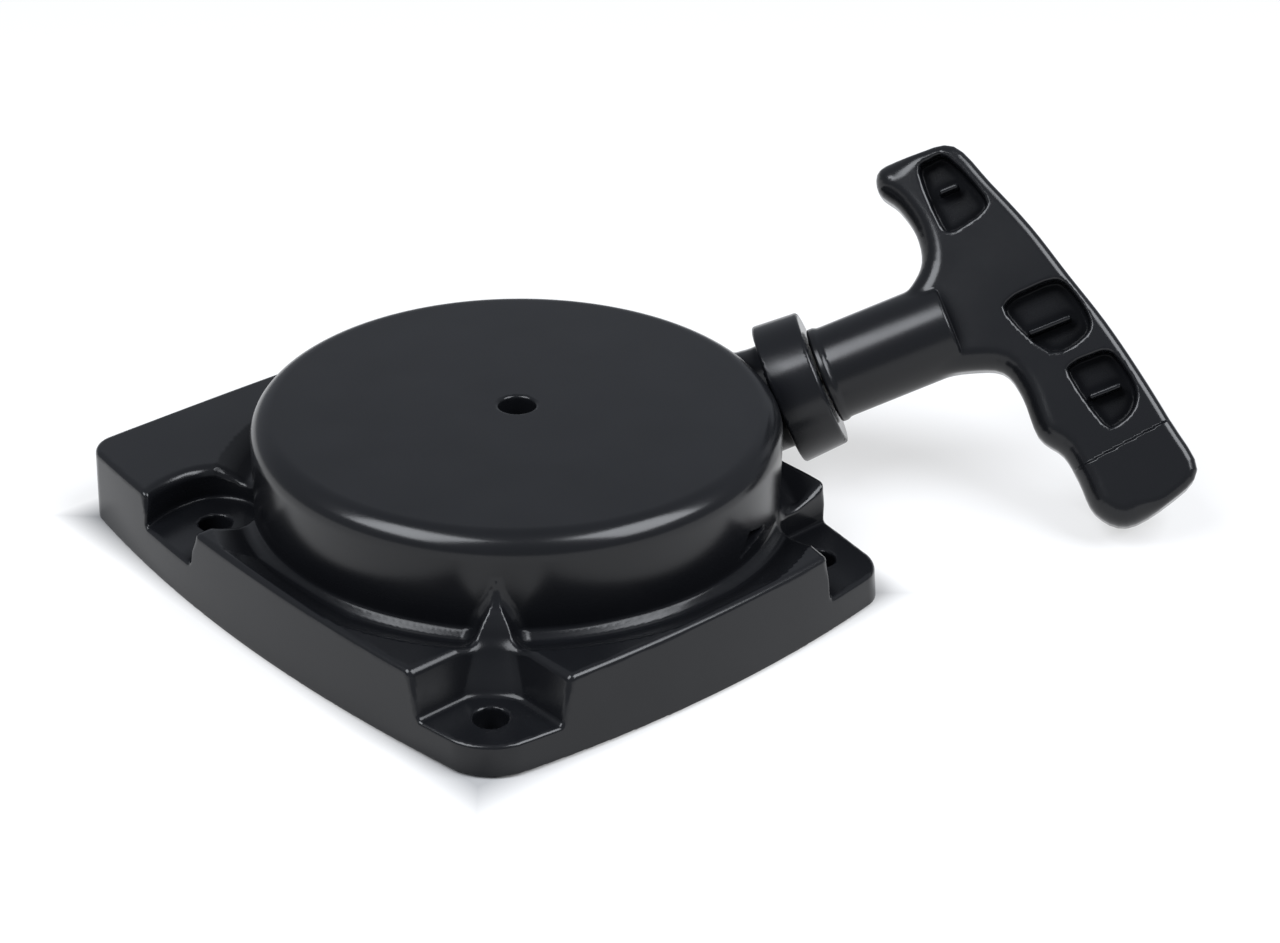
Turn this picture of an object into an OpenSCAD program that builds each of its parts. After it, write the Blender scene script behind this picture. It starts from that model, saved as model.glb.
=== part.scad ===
// Recoil starter for a small engine: moulded case, rope pulley with recoil spring,
// two pawls, and a T grip on the rope. +Z is away from the engine, z = 0 is the mounting face,
// and the origin is on the crank axis. All lengths are in millimetres.

/* [Case] */
// Outer radius of the drum
drum_r = 45.5; // [43:0.5:48]
// Height of the drum above the mounting face
drum_h = 28.4; // [28:0.2:32]
// Radius of the drum's top edge
top_fillet = 4; // [2:0.5:4]
// Wall thickness of the moulding
wall = 2.6; // [2:0.1:3]
// Height of the deck around the drum
deck_z = 13.2; // [12:0.1:14]
// Thickness of the bolt pads
pad_t = 5.5; // [5:0.1:6]
// Thickness of the left bolt's pad
left_pad_t = 7.2; // [6:0.1:7.5]
// Radius of the four bolt holes
bolt_r = 2.75; // [2.2:0.05:3]

/* [Rope guide] */
// Direction of pull, seen from above
pull_azimuth = -39; // [-45:1:-33]
// Rise of the pull above the mounting face
pull_rise = 24; // [20:1:26]
// Outer radius of the guide collar
collar_r = 13; // [12:0.1:13.2]
// Outer radius of the neck behind the collar
neck_r = 9.8; // [9:0.1:10.5]

/* [Rope] */
// Rope diameter
rope_d = 2.8; // [2.6:0.1:2.8]
// Radius of the outermost turn on the pulley
rope_exit_r = 24.5; // [24:0.1:25]

/* [Grip] */
// Radius of the grip's stem
stem_r = 8.6; // [8:0.1:9]
// Thickness of the grip's crossbar
bar_t = 13; // [12:0.5:14]
// Rest angle of the crossbar about the rope
grip_roll = 54; // [50:1:56]

/* [Pulley and pawls] */
// Outer radius of the pulley's flanges
flange_r = 32; // [31:0.5:33]
// Radius of the pawl pins' circle
pawl_pin_circle = 23; // [22:0.5:24]
// Length of a pawl from its pin to its tip
pawl_len = 12; // [11:0.5:12.5]
// Number of turns in the recoil spring
spring_turns = 8; // [6:1:9]

/* [Hidden] */
$fn = 64;

// Case plan: each side's furthest reach and its curvature, at the mounting face and at the deck
left_reach = [-54.8, -52.4];
left_curve = [0.0017, 0.0011];
left_mid_y = 5;
front_reach = [-56.4, -53.4];
front_curve = [0.0022, 0.0014];
back_reach = [63.4, 61.8];
back_curve = [-0.0012, -0.0004];
right_reach = [37.3, 37.3];
right_bulge = 4;
bulge_y0 = -46;
bulge_y1 = 50;
bulge_run = 16;
corner_r = 5;
front_corner_r = 6.5;
corner_steps = 4;
side_steps = 8;
cavity_r = drum_r - wall;
roof_z = drum_h - wall;
hole_top_r = 3.15;
hole_top_floor = 22;
post_r = 6.5;
post_end = 9.2;
left_bolt = [-42, 31.5];
front_bolt = [-42, -43.5];
right_bolt = [30.5, -43.5];
back_bolt = [30.5, 52.5];
BOLTS = [left_bolt, front_bolt, right_bolt, back_bolt];
pocket_r = 8.6;
front_notch = [-35.2, -37.3];
right_notch = [22.5, -35];
back_notch = [22.5, 46];
front_notch_r = 7;
side_notch_r = 4;
pocket_rise = 12;
scoop_tip = [-31.4, -32.4, 20];
scoop_tip_r = 0.8;
rib_step = 15;
skirt_rib_t = 2;
far = 60;

// Rope line: leaves the pulley as a tangent, then bends up into the guide
guide_along = 52;
guide_z = 18.6;
bend_x = -6;
collar_back = -4.4;
collar_front = 4.2;
neck_back = -8.2;
boss_r = 8.4;
boss_start = 28;
eyelet_r = 4.2;
eyelet_lip_r = 6.4;
eyelet_lip_t = 1.2;
eyelet_front = collar_front - 0.2;
rope_clear = 0.3;
eyelet_bore_r = rope_d / 2 + rope_clear;
pull_dir = [cos(pull_azimuth), sin(pull_azimuth), 0];
side_dir = [-sin(pull_azimuth), cos(pull_azimuth), 0];
rope_start_xy = side_dir * rope_exit_r;
guide_origin = pull_dir * guide_along + rope_start_xy + [0, 0, guide_z];
axis_dir = [cos(pull_rise) * pull_dir[0], cos(pull_rise) * pull_dir[1], sin(pull_rise)];
bend_point = guide_origin + axis_dir * bend_x;
exit_z = bend_point[2];
tunnel_r = 3;

// Pulley stack
lane_gap = rope_d + 0.1;
groove_mid = exit_z - lane_gap / 2;
groove_half = lane_gap / 2 + rope_d / 2 + 0.25;
groove_z0 = groove_mid - groove_half;
groove_z1 = groove_mid + groove_half;
flange_t = 1.6;
pulley_z0 = groove_z0 - flange_t;
pulley_z1 = groove_z1 + flange_t;
rope_segments = 7;
segment_deg = 330;
blend_deg = 30;
inner_knot_r = 2;
inner_knot_circle = 12.3;
inner_knot_lead = 14;
inner_knot_drop = 0.6;
tail_end = 15;
rope_inner_r = rope_exit_r - 3 * lane_gap;
groove_floor_r = rope_inner_r - rope_d / 2 - 0.1;
bush_r = 8;
hub_r = 10;
hub_top = 25;
bush_z0 = 9.7;
hook_deg = 15;
hook_notch = 2.4;
running_clear = 0.05;

// Recoil spring and its case
spring_case_r = 30;
spring_case_z0 = pulley_z1 + 0.4;
spring_t = 0.5;
spring_z0 = spring_case_z0 + 0.4;
spring_z1 = roof_z - 0.9;
sheet_t = 0.6;
spring_gap = 0.35;
spring_inner_r = hub_r + spring_gap;
spring_outer_r = spring_case_r - sheet_t - spring_gap;
spring_step = 15;
spring_steps = spring_turns * 360 / spring_step;
spring_pitch = (spring_outer_r - spring_inner_r - spring_t) / spring_steps;
inner_hook = 1.1;
outer_hook = 1.6;

// Pawls and the parts under the pulley
pin_r = 1.75;
pawl_z0 = 5;
pawl_z1 = 7.9;
pawl_eye_r = 3.6;
pawl_tip_r = 1.8;
pawl_tip_drop = 2;
pin_end = 1;
pawl_gap = 0.3;
clip_t = 0.5;
clip_z0 = pawl_z0 - pawl_gap - clip_t;
clip_rim = 1.4;
pawl_wire_r = 0.25;
guide_plate_r = 13;
guide_plate_z0 = 6.2;
guide_plate_z1 = 7.4;
guide_hub_r = 7.4;
cam_angle = 20;
cam_len = 5;
cam_w = 6;
friction_wire_r = 0.35;
friction_ring_r = 9;
thrust_t = 0.3;
guide_hub_top = post_end - thrust_t;
washer_t = 0.7;
washer_r = 7;
screw_head_r = 5;
screw_head_h = 3;
screw_r = 2.45;
socket_r = 2.3;
socket_depth = 1.8;
insert_r = 4;
insert_top = 19;

// Grip outline in the grip's own plane: x along the rope from the collar, y along the crossbar
grip_start = 4.9;
stem_end = 29;
GRIP_POINTS = [
  [17, 5.2], [21.5, 7.4], [25.2, 9], [28.4, 12.2], [29.3, 17.3], [28.1, 22.8], [25.9, 27], [27.7, 30.8],
  [34.6, 30.6], [41.4, 29.2], [45, 20.5], [48.7, 10.3], [51.5, 0], [54.3, -10],
  [56.4, -20], [58.2, -31], [59.2, -40.6], [52.4, -44.2], [44.4, -45.4], [40.1, -41.2],
  [39.6, -34.8], [38.8, -29.6], [36, -24.8], [36, -17], [34.4, -11.8], [29, -9.3], [23, -7.8], [17, -5.2]
];
POCKET_1 = [[34, 27], [36.4, 28.4], [39.6, 27.6], [43, 18.4], [41.6, 16.1], [38.4, 15.2], [35.4, 14.9],
  [34, 17]];
POCKET_2 = [[38.9, -2.6], [40.6, -0.4], [44, 0], [48.6, -0.1], [50.6, -2.2], [51.9, -8.2], [50.2, -11.4],
  [43.4, -11.8]];
POCKET_3 = [[45, -17], [46.4, -15.2], [49.6, -15], [52.4, -15.3], [53.8, -17.2], [54.7, -23], [53.2, -26.4],
  [49.8, -28], [47.3, -27]];
RIBS = [[36, 39.4, 22.3], [41.2, 49, -7.3], [46.8, 52.6, -21.8]];
pocket_web = 1.6;
rib_t = 0.9;
rib_drop = 1.2;
face_inset = 2.2;
edge_step = 2.2;
chamber_r = 4.4;
chamber_x0 = 22;
chamber_x1 = 33;
knot_r = 3.4;
knot_washer_t = 0.8;
knot_x = chamber_x0 + knot_washer_t + rope_clear + knot_r;
rope_tip = knot_x - 2;
grip_bore_r = rope_d / 2 + rope_clear;

// A point of a closed curve that passes through four neighbouring points
function curve_point(a, b, c, d, t) =
  0.5 * (2 * b + (c - a) * t + (2 * a - 5 * b + 4 * c - d) * t * t + (3 * b - a - 3 * c + d) * t * t * t);

// A closed smooth outline through a list of points, with n steps a span
function smooth_outline(p, n) = [
  for (i = [0 : len(p) - 1], k = [0 : n - 1])
    curve_point(p[(i + len(p) - 1) % len(p)], p[i], p[(i + 1) % len(p)], p[(i + 2) % len(p)], k / n)
];

function unit(v) = v / norm(v);
function ease(t) = t <= 0 ? 0 : t >= 1 ? 1 : t * t * (3 - 2 * t);

// Ring of points about a path point, square to the path's direction
function ring(p, dir, r, sides) =
  let (side = unit(cross(dir, [0, 0, 1])), up = cross(side, dir))
  [for (k = [0 : sides - 1]) p + r * (cos(360 * k / sides) * side + sin(360 * k / sides) * up)];

// Closed round tube along a list of points
module tube(path, r, sides) {
  n = len(path);
  dirs = [for (i = [0 : n - 1]) unit(path[min(i + 1, n - 1)] - path[max(i - 1, 0)])];
  points = [for (i = [0 : n - 1]) each ring(path[i], dirs[i], r, sides)];
  walls = [
    for (i = [0 : n - 2], k = [0 : sides - 1])
      let (a = i * sides + k, b = i * sides + (k + 1) % sides)
      [a, b, b + sides, a + sides]
  ];
  first_cap = [for (k = [sides - 1 : -1 : 0]) k];
  last_cap = [for (k = [0 : sides - 1]) (n - 1) * sides + k];
  polyhedron(points, concat([first_cap], walls, [last_cap]), convexity = 10);
}

// Puts children in the guide's frame: x along the pull, from the collar's middle
module at_guide() {
  translate(guide_origin) rotate([0, -pull_rise, pull_azimuth]) children();
}

// Puts children in the grip's frame: x along the pull, y along the crossbar
module at_grip() {
  at_guide() rotate([grip_roll, 0, 0]) children();
}

// Puts children on the rope's level run: x along it, from beside the crank axis
module along_rope() {
  translate(rope_start_xy + [0, 0, exit_z]) rotate([0, 0, pull_azimuth]) children();
}

// Cylinder along x from x0 to x1
module x_rod(x0, x1, r) {
  translate([x0, 0, 0]) rotate([0, 90, 0]) cylinder(h = x1 - x0, r = r);
}

// Flat ring about Z
module z_ring(z0, z1, r_out, r_in) {
  translate([0, 0, z0]) difference() {
    cylinder(h = z1 - z0, r = r_out);
    translate([0, 0, -1]) cylinder(h = z1 - z0 + 2, r = r_in);
  }
}

function mix(pair, f) = pair[0] * (1 - f) + pair[1] * f;

// The four sides of the plan, from the mounting face (f = 0) to the deck (f = 1)
function left_x(y, f) = mix(left_reach, f) + mix(left_curve, f) * pow(y - left_mid_y, 2);
function front_y(x, f) = mix(front_reach, f) + mix(front_curve, f) * x * x;
function back_y(x, f) = mix(back_reach, f) + mix(back_curve, f) * x * x;
function right_x(y, f) =
  mix(right_reach, f) + right_bulge * ease((y - bulge_y0) / bulge_run) * ease((bulge_y1 - y) / bulge_run);

// Quarter circle of a rounded corner, from its first angle on
function corner_arc(x, y, r, start) =
  [for (k = [0 : corner_steps]) let (a = start + 90 * k / corner_steps) [x + r * cos(a), y + r * sin(a)]];

// Outline of the base, moved inwards by an inset
module base_outline(f, inset) {
  r = corner_r - inset;
  front_r = front_corner_r - inset;
  front_left = [left_x(front_y(0, f), f) + front_corner_r, front_y(left_x(0, f), f) + front_corner_r];
  front_right = [right_x(front_y(0, f), f) - corner_r, front_y(right_x(0, f), f) + corner_r];
  back_right = [right_x(back_y(0, f), f) - corner_r, back_y(right_x(0, f), f) - corner_r];
  back_left = [left_x(back_y(0, f), f) + corner_r, back_y(left_x(0, f), f) - corner_r];
  steps = [for (i = [1 : side_steps - 1]) i / side_steps];
  polygon(concat(
    corner_arc(front_left[0], front_left[1], front_r, 180),
    [for (t = steps) let (x = mix([front_left[0], front_right[0]], t)) [x, front_y(x, f) + inset]],
    corner_arc(front_right[0], front_right[1], r, 270),
    [for (t = steps) let (y = mix([front_right[1], back_right[1]], t)) [right_x(y, f) - inset, y]],
    corner_arc(back_right[0], back_right[1], r, 0),
    [for (t = steps) let (x = mix([back_right[0], back_left[0]], t)) [x, back_y(x, f) - inset]],
    corner_arc(back_left[0], back_left[1], r, 90),
    [for (t = steps) let (y = mix([back_left[1], front_left[1]], t)) [left_x(y, f) + inset, y]]
  ));
}

// Block of the base, with its skirt spreading towards the mounting face
module base_block() {
  hull() {
    translate([0, 0, deck_z - 0.1]) linear_extrude(0.1) base_outline(1, 0);
    linear_extrude(0.1) base_outline(0, 0);
  }
}

// Drum with a rounded top edge
module drum() {
  rotate_extrude() {
    square([drum_r - top_fillet, drum_h]);
    square([drum_r, drum_h - top_fillet]);
    translate([drum_r - top_fillet, drum_h - top_fillet]) circle(top_fillet);
  }
}

// Corner notch with a round inner corner, reaching outward along sx and sy
module corner_notch(corner, sx, sy, r) {
  translate(corner) mirror([sx < 0 ? 1 : 0, 0]) mirror([0, sy < 0 ? 1 : 0]) {
    translate([r, 0]) square(far);
    translate([0, r]) square(far);
    translate([r, r]) circle(r);
  }
}

// Plan of the left bolt's pocket, open to the side
module left_pocket_plan() {
  translate(left_bolt) circle(pocket_r);
  translate([left_bolt[0] - far, left_bolt[1] - pocket_r]) square([far, 2 * pocket_r]);
}

// Plan of the pockets over the three bolts at the corners
module corner_pocket_plan() {
  corner_notch(front_notch, -1, -1, front_notch_r);
  corner_notch(right_notch, 1, -1, side_notch_r);
  corner_notch(back_notch, 1, 1, side_notch_r);
}

// Hollow under the deck, outside the drum and clear of the bolt pads
module skirt_hollow() {
  translate([0, 0, -1]) linear_extrude(deck_z - wall + 1) difference() {
    base_outline(1, wall);
    circle(drum_r);
    translate(left_bolt) circle(pocket_r + wall);
    translate([left_bolt[0] - far, left_bolt[1] - pocket_r - wall])
      square([far, 2 * (pocket_r + wall)]);
    translate([front_notch[0] + wall - far, front_notch[1] + wall - far]) square(far);
    translate([right_notch[0] - wall, right_notch[1] + wall - far]) square(far);
    translate([back_notch[0] - wall, back_notch[1] - wall]) square(far);
    for (a = [rib_step / 2 : rib_step : 360]) rotate([0, 0, a])
      translate([drum_r - wall, -skirt_rib_t / 2]) square([far, skirt_rib_t]);
  }
}

// Sloping scoop that gives a tool room over the front bolt, up to a point on the drum's wall
module tool_scoop() {
  hull() {
    translate([front_bolt[0], front_bolt[1], pad_t]) cylinder(h = 1, r = front_notch_r - 0.5, $fn = 32);
    translate(scoop_tip) sphere(scoop_tip_r, $fn = 32);
  }
}

module starter_case() {
  color([0.16, 0.17, 0.19]) difference() {
    union() {
      base_block();
      drum();
      along_rope() x_rod(boss_start, guide_along + bend_x, boss_r);
      at_guide() x_rod(neck_back, collar_front, neck_r);
      at_guide() x_rod(collar_back, collar_front, collar_r);
    }
    difference() {
      translate([0, 0, -1]) cylinder(h = roof_z + 1, r = cavity_r);
      translate([0, 0, post_end]) cylinder(h = drum_h, r = post_r);
    }
    skirt_hollow();
    difference() {
      union() {
        translate([0, 0, pad_t]) linear_extrude(pocket_rise) corner_pocket_plan();
        translate([0, 0, left_pad_t]) linear_extrude(pocket_rise) left_pocket_plan();
      }
      cylinder(h = drum_h, r = drum_r);
    }
    tool_scoop();
    for (b = BOLTS) translate([b[0], b[1], -1]) cylinder(h = left_pad_t + 2, r = bolt_r);
    translate([0, 0, hole_top_floor]) cylinder(h = drum_h, r = hole_top_r);
    translate([0, 0, post_end - 1]) cylinder(h = insert_top - post_end + 1, r = insert_r);
    along_rope() x_rod(boss_start - 2, guide_along + bend_x, tunnel_r);
    at_guide() x_rod(bend_x - 1.5, collar_front + 1, eyelet_r);
    at_guide() x_rod(eyelet_front - eyelet_lip_t, collar_front + 1, eyelet_lip_r + 0.1);
  }
}

module guide_eyelet() {
  color("silver") at_guide() difference() {
    union() {
      x_rod(bend_x + 3, eyelet_front, eyelet_r);
      x_rod(eyelet_front - eyelet_lip_t, eyelet_front, eyelet_lip_r);
    }
    x_rod(bend_x, collar_front + 1, eyelet_bore_r);
  }
}

module threaded_insert() {
  color("gold") z_ring(post_end, insert_top, insert_r, screw_r);
}

module spring_case() {
  color("silver") difference() {
    union() {
      z_ring(roof_z - sheet_t, roof_z, spring_case_r, hub_r + 4);
      z_ring(spring_case_z0, roof_z - sheet_t, spring_case_r, spring_case_r - sheet_t);
    }
    rotate([0, 0, hook_deg]) translate([spring_case_r - 2, -0.3, spring_case_z0 - 1])
      cube([4, spring_t + 0.6, spring_z1 - spring_case_z0 + 1.3]);
  }
}

// A point of the spiral, n steps out from the hub, at one of the strip's two faces
function spiral_point(n, face) =
  (spring_inner_r + face * spring_t + spring_pitch * n)
    * [cos(hook_deg + spring_step * n), sin(hook_deg + spring_step * n)];

// Spiral strip with a short hook at each end
module recoil_spring() {
  color("slategray") translate([0, 0, spring_z0]) linear_extrude(spring_z1 - spring_z0) {
    polygon(concat(
      [for (n = [0 : spring_steps]) spiral_point(n, 0)],
      [for (n = [spring_steps : -1 : 0]) spiral_point(n, 1)]
    ));
    rotate(hook_deg) translate([spring_inner_r - inner_hook, 0]) square([inner_hook + spring_t / 2, spring_t]);
    rotate(hook_deg) translate([spring_outer_r - spring_t, 0]) square([outer_hook, spring_t]);
  }
}

module ratchet_guide() {
  color("gray") difference() {
    union() {
      translate([0, 0, guide_plate_z0]) cylinder(h = guide_plate_z1 - guide_plate_z0, r = guide_plate_r);
      translate([0, 0, guide_plate_z0]) cylinder(h = guide_hub_top - guide_plate_z0, r = guide_hub_r);
      for (a = [0, 180]) rotate([0, 0, cam_angle + a])
        translate([guide_plate_r - 1.5, -cam_w / 2, guide_plate_z0])
          cube([cam_len + 1.5, cam_w, guide_plate_z1 - guide_plate_z0]);
    }
    translate([0, 0, guide_plate_z0 - 1]) cylinder(h = far, r = screw_r + 0.2);
  }
}

module friction_spring() {
  color("silver") for (i = [0 : 1]) translate([0, 0, guide_plate_z1 + friction_wire_r * (1 + 2.1 * i)])
    rotate_extrude() translate([friction_ring_r, 0]) circle(friction_wire_r, $fn = 16);
}

module screw_washer() {
  color("silver") z_ring(guide_plate_z0 - washer_t, guide_plate_z0, washer_r, screw_r + 0.1);
}

module centre_screw() {
  head_z = guide_plate_z0 - washer_t - screw_head_h;
  color("silver") difference() {
    union() {
      translate([0, 0, head_z]) cylinder(h = screw_head_h, r = screw_head_r);
      translate([0, 0, head_z]) cylinder(h = insert_top - 1 - head_z, r = screw_r);
    }
    translate([0, 0, head_z - 1]) cylinder(h = socket_depth + 1, r = socket_r, $fn = 6);
  }
}

module thrust_washer() {
  color("silver") z_ring(guide_hub_top, post_end, hub_r - 0.5, post_r - 1.5);
}

module pulley() {
  color([0.85, 0.85, 0.8]) difference() {
    union() {
      translate([0, 0, pulley_z0]) cylinder(h = flange_t, r = flange_r);
      translate([0, 0, pulley_z0]) cylinder(h = pulley_z1 - pulley_z0, r = groove_floor_r);
      translate([0, 0, groove_z1]) cylinder(h = flange_t, r = flange_r);
      translate([0, 0, pulley_z0]) cylinder(h = hub_top - pulley_z0, r = hub_r);
    }
    translate([0, 0, pulley_z0 - 1]) cylinder(h = far, r = bush_r);
    for (a = [90, 270]) rotate([0, 0, a]) translate([pawl_pin_circle, 0, pulley_z0 - 1])
      cylinder(h = flange_t + 2, r = pin_r);
    rotate([0, 0, hook_deg]) translate([hub_r, 0, hub_top])
      cube([hook_notch, hook_notch, 2 * (hub_top - pulley_z1)], center = true);
    at_inner_knot() translate([0, 0, -far]) cylinder(h = far + inner_knot_r + 0.3, r = inner_knot_r + 0.6);
  }
}

module pulley_bush() {
  color("peru") z_ring(bush_z0, hub_top, bush_r, post_r + running_clear);
}

// Rope path: seven near-turns in two side-by-side lanes, each layer further out
function lane(k) = floor((k + 1) / 2) % 2;
function layer(k) = floor(k / 2);
function lane_z(k) = exit_z - lane(k) * lane_gap;
function layer_r(k) = rope_inner_r + layer(k) * lane_gap;
function wound_point(a) =
  let (
    k = min(floor(a / segment_deg), rope_segments - 1),
    next = min(k + 1, rope_segments - 1),
    f = ease((a - k * segment_deg - segment_deg + blend_deg) / blend_deg),
    r = layer_r(k) * (1 - f) + layer_r(next) * f,
    z = lane_z(k) * (1 - f) + lane_z(next) * f,
    turn = 90 + pull_azimuth + rope_segments * segment_deg - a
  )
  [r * cos(turn), r * sin(turn), z];

// Tail of the rope, from its knot in the hub out to the first turn
function tail_point(a) =
  let (
    f = (a + inner_knot_lead) / (tail_end + inner_knot_lead),
    r = inner_knot_circle * (1 - ease(f)) + rope_inner_r * ease(f),
    turn = 90 + pull_azimuth + rope_segments * segment_deg - a
  )
  [r * cos(turn), r * sin(turn), exit_z - inner_knot_drop * (1 - f)];

// Puts children on the rope's inner knot
module at_inner_knot() {
  translate(tail_point(-inner_knot_lead)) children();
}

module wound_rope() {
  last = rope_segments * segment_deg;
  tail = [for (n = [0 : 3]) tail_point(-inner_knot_lead + n * (tail_end + inner_knot_lead) / 4)];
  color("white") tube(concat(tail, [for (a = [tail_end : 15 : last]) wound_point(a)]), rope_d / 2, 8);
}

module inner_knot() {
  color("white") at_inner_knot() sphere(inner_knot_r);
}

module pawl_pins() {
  color("silver") for (a = [90, 270]) rotate([0, 0, a]) translate([pawl_pin_circle, 0, pawl_z0 - pin_end])
    cylinder(h = pulley_z0 + flange_t - pawl_z0 + pin_end, r = pin_r);
}

module pawl_clips() {
  color("silver") for (a = [90, 270]) rotate([0, 0, a]) translate([pawl_pin_circle, 0, 0])
    z_ring(clip_z0, clip_z0 + clip_t, pin_r + clip_rim, pin_r);
}

module pawl_springs() {
  color("silver") for (a = [90, 270], i = [0 : 1]) rotate([0, 0, a])
    translate([pawl_pin_circle, 0, pawl_z1 + pawl_gap + pawl_wire_r * (1 + 2.4 * i)])
      rotate_extrude() translate([pin_r + 2 * pawl_wire_r, 0]) circle(pawl_wire_r, $fn = 16);
}

// A pawl whose pin is on the pin circle at +Y and whose tip leads the pulley's turn
module pawl() {
  slope = atan2(-pawl_tip_drop, pawl_len);
  translate([0, pawl_pin_circle, pawl_z0]) difference() {
    linear_extrude(pawl_z1 - pawl_z0) {
      circle(pawl_eye_r);
      rotate([0, 0, slope]) polygon([[0, -pawl_eye_r], [pawl_len, -pawl_tip_r], [pawl_len, pawl_tip_r],
        [0, pawl_eye_r]]);
      rotate([0, 0, slope]) translate([pawl_len, 0]) circle(pawl_tip_r);
    }
    translate([0, 0, -1]) cylinder(h = far, r = pin_r + running_clear);
  }
}

module pawl_a() {
  color("dimgray") pawl();
}

module pawl_b() {
  color("dimgray") rotate([0, 0, 180]) pawl();
}

// Straight run of rope, from the pulley to the knot in the grip
module pull_rope() {
  start = rope_start_xy + [0, 0, exit_z];
  run = [for (s = [0, 15, 30, guide_along + bend_x * cos(pull_rise) - 2]) start + pull_dir * s];
  out = [for (x = [bend_x + 2, 3, 10, 17, rope_tip]) guide_origin + axis_dir * x];
  color("white") tube(concat(run, out), rope_d / 2, 8);
}

module rope_knot() {
  color("white") at_grip() translate([knot_x, 0, 0]) sphere(knot_r);
}

// Steel washer that the knot pulls against inside the grip
module knot_washer() {
  color("silver") at_grip() difference() {
    x_rod(chamber_x0, chamber_x0 + knot_washer_t, chamber_r - 0.1);
    x_rod(chamber_x0 - 1, chamber_x0 + 2, grip_bore_r);
  }
}

module grip_pockets() {
  for (p = [POCKET_1, POCKET_2, POCKET_3])
    translate([0, 0, pocket_web]) linear_extrude(20) polygon(smooth_outline(p, 3));
}

module grip_ribs() {
  for (r = RIBS) translate([r[0], r[2] - rib_t / 2, 0]) cube([r[1] - r[0], rib_t, bar_t / 2 - rib_drop]);
}

module handle_grip() {
  outline = smooth_outline(GRIP_POINTS, 3);
  color([0.16, 0.17, 0.19]) at_grip() difference() {
    union() {
      difference() {
        union() {
          translate([0, 0, -bar_t / 2 + edge_step]) linear_extrude(bar_t - 2 * edge_step) polygon(outline);
          translate([0, 0, -bar_t / 2]) linear_extrude(bar_t) offset(delta = -face_inset) polygon(outline);
        }
        grip_pockets();
        mirror([0, 0, 1]) grip_pockets();
      }
      grip_ribs();
      mirror([0, 0, 1]) grip_ribs();
      x_rod(grip_start, stem_end, stem_r);
    }
    x_rod(0, chamber_x0 + 1, grip_bore_r);
    x_rod(chamber_x0, chamber_x1, chamber_r);
    translate([chamber_x0, -chamber_r, -10]) cube([chamber_x1 - chamber_x0, 2 * chamber_r, 10]);
  }
}

starter_case();
guide_eyelet();
threaded_insert();
spring_case();
recoil_spring();
ratchet_guide();
friction_spring();
screw_washer();
centre_screw();
thrust_washer();
pulley();
pulley_bush();
wound_rope();
inner_knot();
pawl_pins();
pawl_clips();
pawl_springs();
pawl_a();
pawl_b();
pull_rope();
rope_knot();
knot_washer();
handle_grip();
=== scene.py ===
"""Looks of the recoil starter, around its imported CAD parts.

Shapes are worked out in millimetres and stored in metres.
"""

import math

import bpy
import numpy as np
from mathutils import Matrix, Vector


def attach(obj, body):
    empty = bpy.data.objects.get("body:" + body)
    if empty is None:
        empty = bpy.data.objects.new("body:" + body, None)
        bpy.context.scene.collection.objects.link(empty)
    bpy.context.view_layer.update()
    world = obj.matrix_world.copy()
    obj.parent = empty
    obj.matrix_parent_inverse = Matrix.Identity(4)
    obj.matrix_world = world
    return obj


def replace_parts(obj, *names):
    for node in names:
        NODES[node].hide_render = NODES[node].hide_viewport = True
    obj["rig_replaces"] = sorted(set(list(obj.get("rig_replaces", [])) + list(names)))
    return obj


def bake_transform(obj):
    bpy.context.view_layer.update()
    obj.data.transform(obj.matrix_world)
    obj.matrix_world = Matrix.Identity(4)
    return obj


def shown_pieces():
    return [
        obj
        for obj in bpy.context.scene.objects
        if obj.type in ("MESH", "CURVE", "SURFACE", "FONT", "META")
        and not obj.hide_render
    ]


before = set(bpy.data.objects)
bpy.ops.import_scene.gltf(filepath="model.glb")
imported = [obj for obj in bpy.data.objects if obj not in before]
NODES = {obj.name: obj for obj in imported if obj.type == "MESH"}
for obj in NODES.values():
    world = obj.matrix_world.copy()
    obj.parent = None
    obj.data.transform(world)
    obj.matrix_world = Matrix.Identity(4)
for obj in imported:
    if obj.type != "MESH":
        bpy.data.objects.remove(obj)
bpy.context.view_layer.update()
MM = 0.001

# ---------------------------------------------------------------- sizes, in millimetres
DRUM_R, DRUM_TOP, CAVITY_R, ROOF = 45.5, 28.4, 42.9, 25.8
DECK, PAD, PAD_LEFT, WALL = 13.2, 5.5, 7.2, 2.6
# the deck falls from its rim to the drum's foot, where a chamfer leans on the wall
DECK_FALL, FALL_RUN = 3.7, 8.0
FOOT_Z, FOOT_LEAN = 11.9, math.radians(56)
# the plan's four sides: furthest reach and curvature, at the mounting face and at the deck
LEFT_REACH, LEFT_CURVE, LEFT_MID = (-54.8, -52.4), (0.0017, 0.0011), 5.0
FRONT_REACH, FRONT_CURVE = (-56.4, -53.4), (0.0022, 0.0014)
BACK_REACH, BACK_CURVE = (63.4, 61.8), (-0.0012, -0.0004)
RIGHT_REACH, BULGE, BULGE_Y, BULGE_RUN = 37.3, 3.5, (-56.0, 60.0), 26.0
# the front bolt's scoop: its corner in plan and its corner radius, at the pad and where it ends on the drum
SCOOP_Z, SCOOP_CORNER, SCOOP_R = (PAD, 19.5), ((-35.3, -37.0), (-31.1, -32.4)), (7.5, 1.3)
SCOOP_AZ, SCOOP_SLOPE = math.radians(-134.2), 0.63
# the other pockets: round at the left, square at the back, with one slanted side at the right
BOLT_R = 2.75
BOLTS = [(-42.0, 31.5), (-42.0, -43.5), (30.5, -43.5), (30.5, 52.5)]
LEFT_POCKET_R, BACK_CORNER, CORNER_R = 8.6, (22.5, 46.0), 4.0
RIGHT_SIDE, RIGHT_SLANT, RIGHT_END = (25.3, -43.0), 0.24, -35.4
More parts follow.
